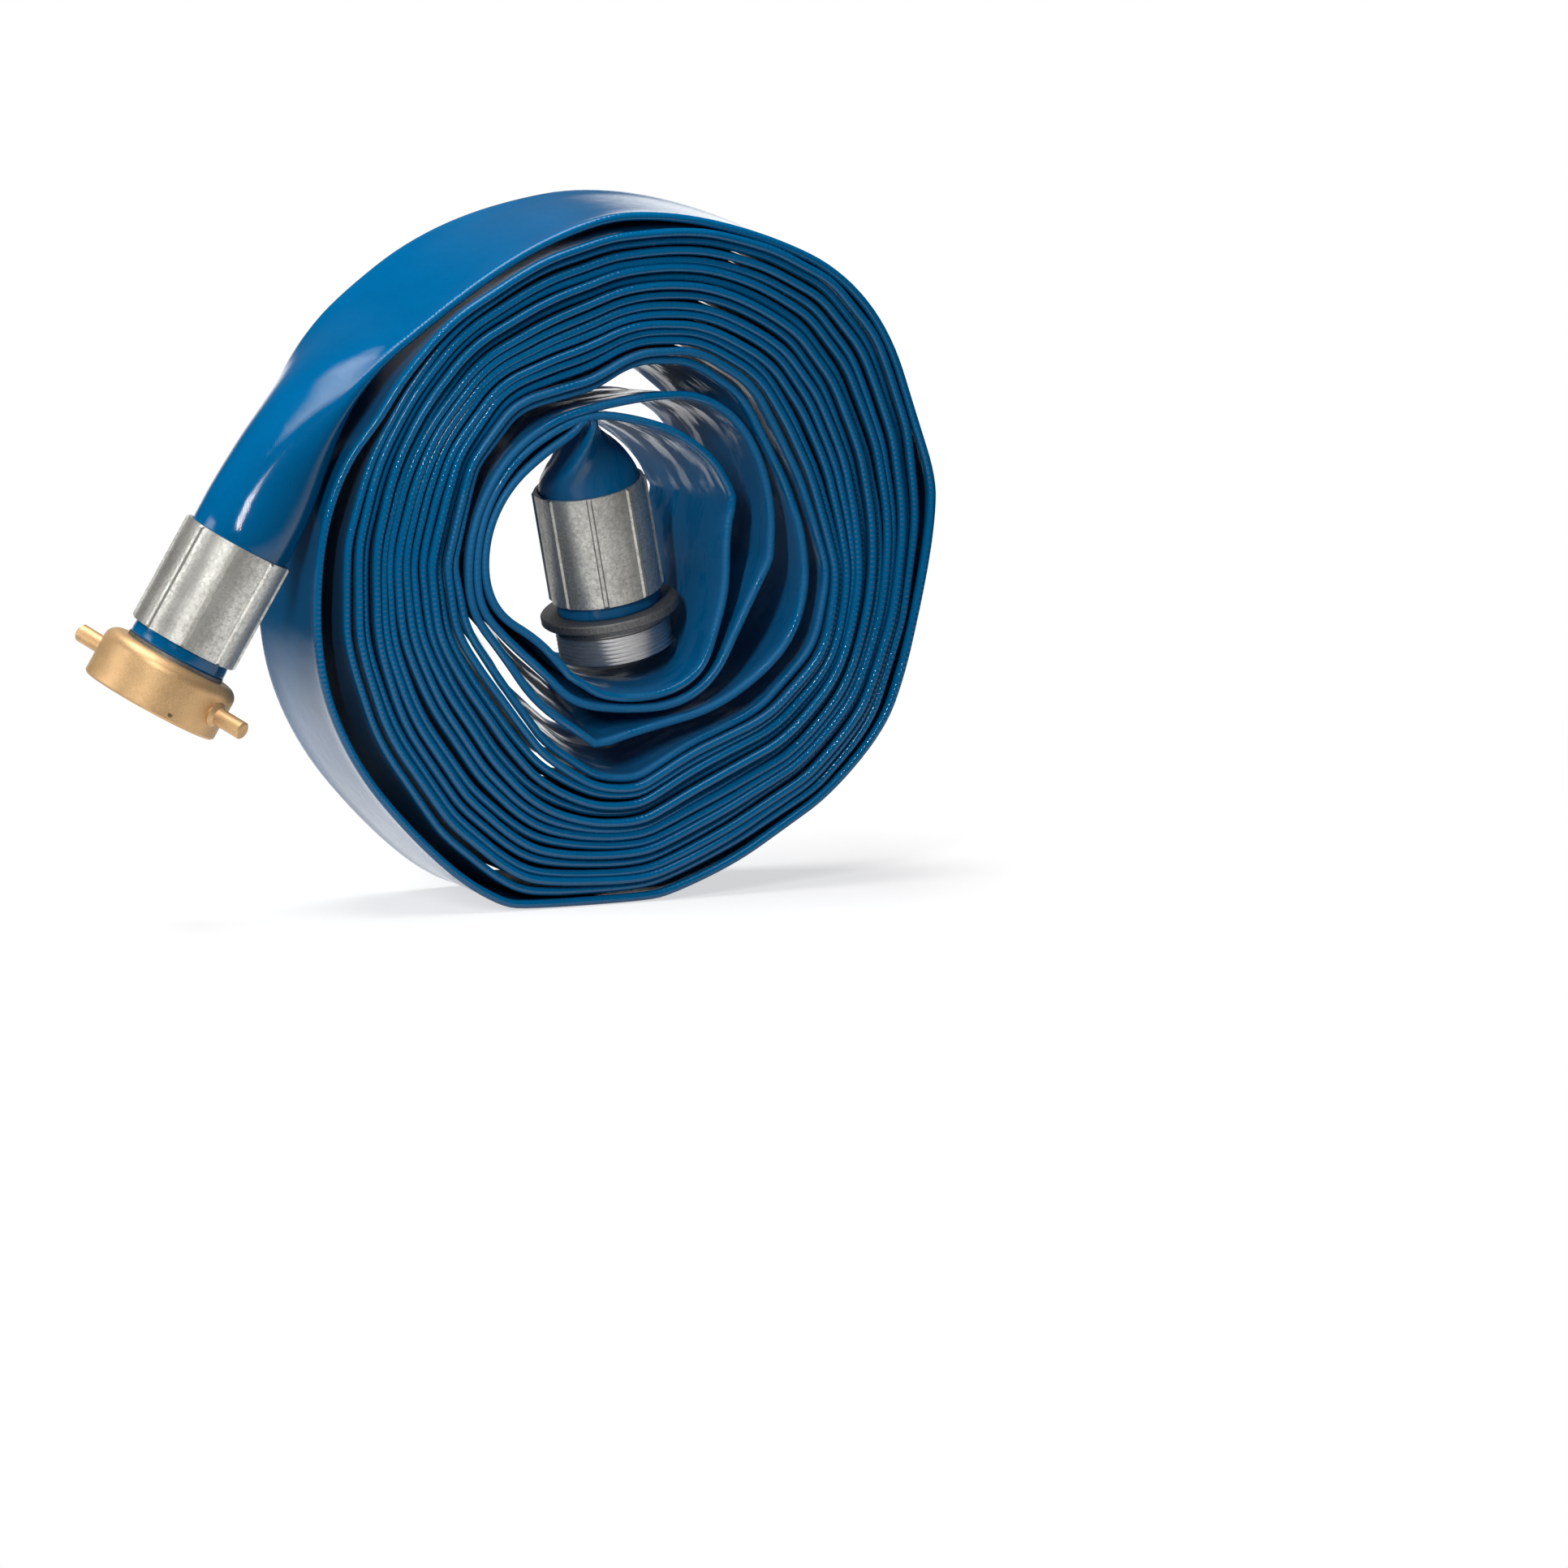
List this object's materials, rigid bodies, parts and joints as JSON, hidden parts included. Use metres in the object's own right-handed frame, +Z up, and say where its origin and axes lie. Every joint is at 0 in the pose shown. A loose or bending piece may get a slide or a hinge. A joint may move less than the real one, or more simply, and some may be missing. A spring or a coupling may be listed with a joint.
{
  "type": "rolled discharge hose",
  "caption": "Blue lay-flat hose rolled up on its rim, with crimped ferrules, a male threaded coupling inside the roll and a lugged swivel nut at the outer end.",
  "frame": {"origin": "on the roll's flat base, directly under the roll's axis and at the middle of the hose's width", "axes": "+Z up, Y along the roll's axis (the hose's width, -Y towards the front where the swivel nut hangs), X across the roll, with the swivel coupling on the -X side"},
  "size_m": [0.4626, 0.1038, 0.3616],
  "materials": {
    "hose_pvc": "glossy PVC with the weave showing through",
    "lining_pvc": "smooth dark PVC",
    "yarn": "woven polyester yarn",
    "ferrule_steel": "zinc plated, mottled, pressed in eight flats",
    "shank_aluminium": "dull casting, bright on the thread",
    "nut_brass": "tumbled sand casting",
    "gasket_rubber": "matt black rubber"
  },
  "bodies": {
    "hose": {"hose_roll": "hose_pvc", "hose_loose_turns": "hose_pvc", "hose_outer_turn": "hose_pvc", "hose_male_end": "hose_pvc", "hose_female_end": "hose_pvc", "male_end_lining": "lining_pvc", "male_end_yarn": "yarn", "male_end_cover": "hose_pvc", "female_end_lining": "lining_pvc", "female_end_yarn": "yarn", "female_end_cover": "hose_pvc", "male_ferrule": "ferrule_steel", "female_ferrule": "ferrule_steel", "male_shank": "shank_aluminium", "female_shank": "shank_aluminium"},
    "nut": {"swivel_nut": "nut_brass", "swivel_gasket": "gasket_rubber"}
  },
  "joints": [
    {"name": "nut_swivel", "type": "hinge", "parent": "hose", "child": "nut", "pos_m": [-0.2482, -0.01331, 0.12898], "axis": [-0.4776, 0.1045, -0.8723], "continuous": true}
  ]
}
